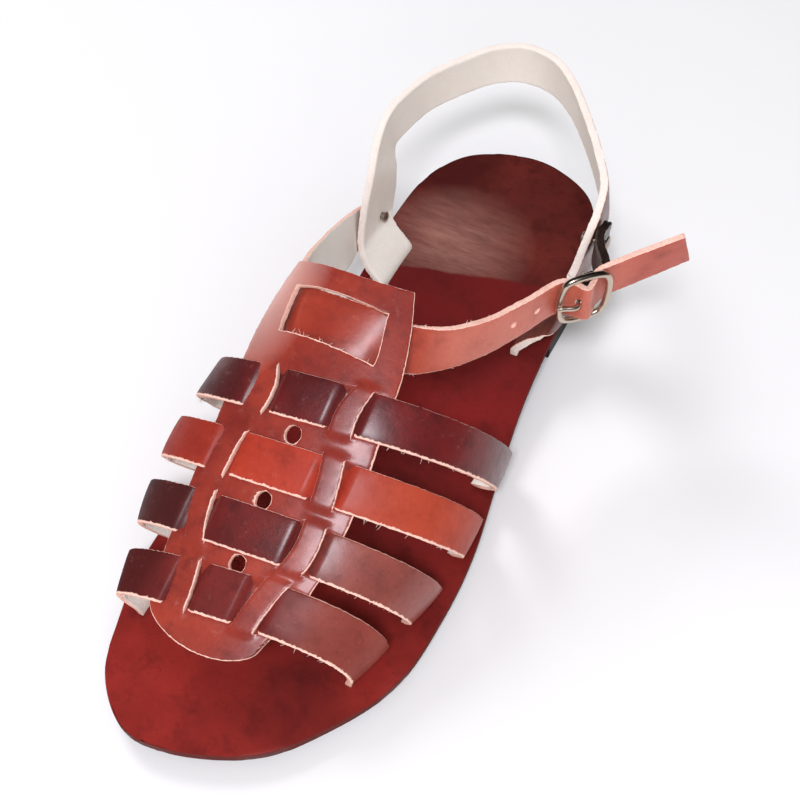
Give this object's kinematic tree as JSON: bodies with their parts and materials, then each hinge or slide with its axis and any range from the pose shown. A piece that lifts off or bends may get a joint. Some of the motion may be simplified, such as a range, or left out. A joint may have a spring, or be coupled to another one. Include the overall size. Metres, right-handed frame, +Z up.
{
  "type": "sandal",
  "caption": "Left leather sandal with a flat stacked sole, a woven strap upper, a buckled ankle strap and a heel strap.",
  "frame": {"origin": "middle of the bounding box in X and Y, on the floor", "axes": "+Y towards the heel, toe at -Y, +X towards the outer (lateral) side of the left foot, +Z up"},
  "size_m": [0.1252, 0.267, 0.0723],
  "materials": {
    "sole_black": "matt",
    "insole_leather": "satin",
    "upper_leather": "glossy",
    "dark_leather": "satin",
    "buckle_metal": "satin"
  },
  "bodies": {
    "root": {"outsole": "sole_black", "heel_lift": "sole_black", "insole": "insole_leather", "upper": "upper_leather", "ankle_strap": "upper_leather", "heel_strap": "upper_leather", "buckle_billet": "dark_leather", "buckle_frame": "buckle_metal", "buckle_prong": "buckle_metal", "rivet_medial": "buckle_metal", "rivet_lateral": "buckle_metal"}
  },
  "joints": []
}
